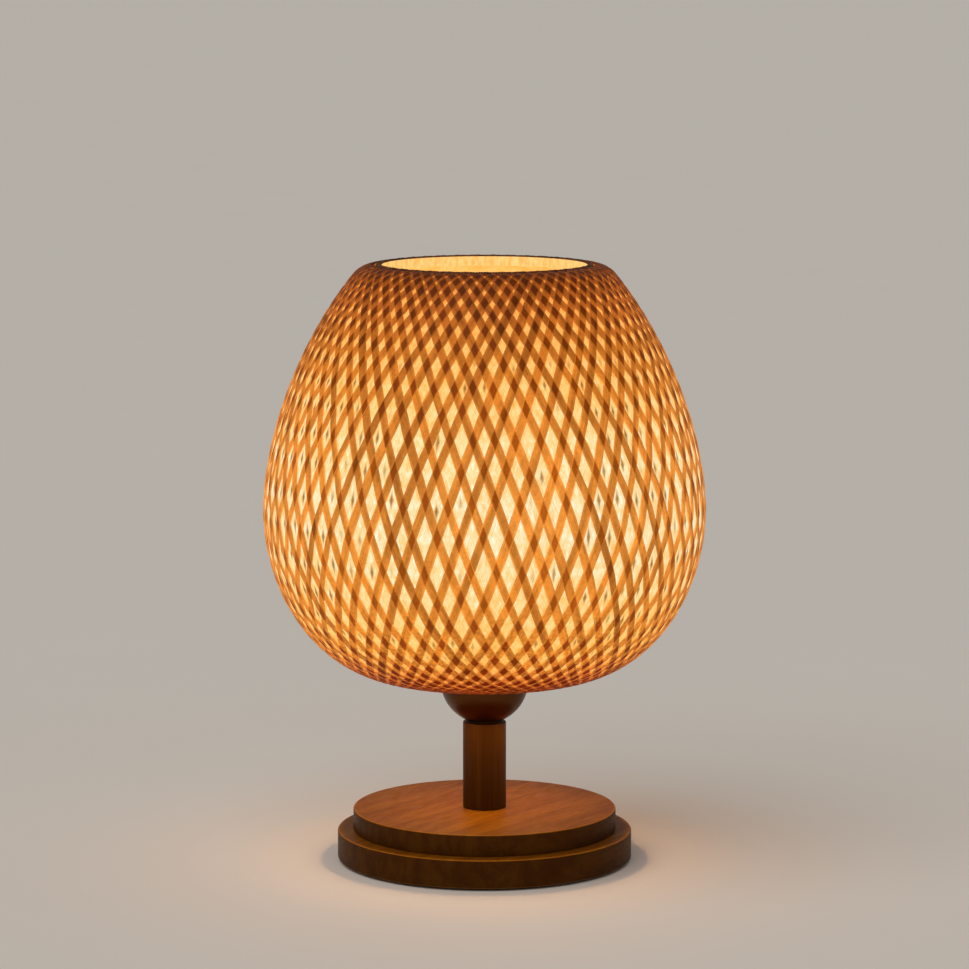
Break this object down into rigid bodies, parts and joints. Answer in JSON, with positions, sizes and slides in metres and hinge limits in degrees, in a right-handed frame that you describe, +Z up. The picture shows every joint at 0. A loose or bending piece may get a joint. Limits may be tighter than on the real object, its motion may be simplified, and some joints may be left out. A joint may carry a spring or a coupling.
{
  "type": "table lamp",
  "caption": "Table lamp: stepped round wooden base, short post, metal holder cup and a woven bamboo shade with a paper liner, open at the top, with a slim bulb inside.",
  "frame": {"origin": "centre of the underside, where the lamp stands on its pad", "axes": "+Z up along the post's axis; the cord grommet is at +Y, the back; +X to the right seen from the front"},
  "size_m": [0.225, 0.225, 0.305],
  "materials": {
    "base_wood": "satin",
    "post_wood": "satin",
    "bamboo": "matte",
    "liner_paper": "matte",
    "cup_bronze": "satin",
    "brass_parts": "satin",
    "zinc_steel": "satin",
    "black_plastic": "matte",
    "porcelain": "gloss",
    "bulb_opal": "satin",
    "clear_plastic": "gloss",
    "bulb_white_plastic": "matte",
    "circuit_board": "matte",
    "aluminium": "satin",
    "felt": "matte",
    "rubber": "matte"
  },
  "bodies": {
    "lamp_base": {"base_pad": "felt", "base_lower_disc": "base_wood", "base_upper_disc": "base_wood", "base_screw_1": "zinc_steel", "base_screw_2": "zinc_steel", "base_screw_3": "zinc_steel", "cord_grommet": "rubber", "post": "post_wood", "threaded_tube": "zinc_steel", "lower_washer": "zinc_steel", "lower_nut": "zinc_steel", "cup_washer": "brass_parts", "upper_nut": "zinc_steel", "holder_cup": "cup_bronze", "holder_insert": "porcelain", "terminal_screw_1": "brass_parts", "terminal_screw_2": "brass_parts", "centre_contact": "brass_parts", "thread_shell": "brass_parts", "holder_skirt": "black_plastic"},
    "bulb_screw": {"bulb_tip": "brass_parts"},
    "bulb": {"bulb_insulator": "black_plastic", "bulb_cap": "brass_parts", "bulb_housing": "bulb_white_plastic", "bulb_driver_board": "circuit_board", "bulb_led_board": "aluminium", "bulb_led_dome": "clear_plastic", "bulb_diffuser": "bulb_opal"},
    "shade": {"woven_shade": "bamboo", "shade_liner": "liner_paper", "bottom_hoop": "bamboo", "top_hoop": "bamboo", "spider_hub": "zinc_steel", "spider_arm_1": "zinc_steel", "spider_arm_2": "zinc_steel", "spider_arm_3": "zinc_steel"},
    "ring_screw": {"ring_washer": "felt"},
    "ring": {"shade_ring": "black_plastic"}
  },
  "joints": [
    {"name": "bulb_lift", "type": "slide", "parent": "lamp_base", "child": "bulb_screw", "axis": [0, 0, 1], "range_m": [0, 0.0182]},
    {"name": "bulb_turn", "type": "hinge", "parent": "bulb_screw", "child": "bulb", "pos_m": [0, 0, 0.105], "axis": [0, 0, 1], "range_deg": [0, 1800]},
    {"name": "shade_lift", "type": "slide", "parent": "lamp_base", "child": "shade", "axis": [0, 0, 1], "range_m": [0, 0.13]},
    {"name": "ring_rise", "type": "slide", "parent": "shade", "child": "ring_screw", "axis": [0, 0, 1], "range_m": [0, 0.0201]},
    {"name": "ring_turn", "type": "hinge", "parent": "ring_screw", "child": "ring", "pos_m": [0, 0, 0.098], "axis": [0, 0, 1], "range_deg": [0, 2880]}
  ],
  "couplings": [
    {"joint": "bulb_lift", "follows": "bulb_turn", "m_per_rad": 0.00057757},
    {"joint": "ring_rise", "follows": "ring_turn", "m_per_rad": 0.00039789}
  ]
}
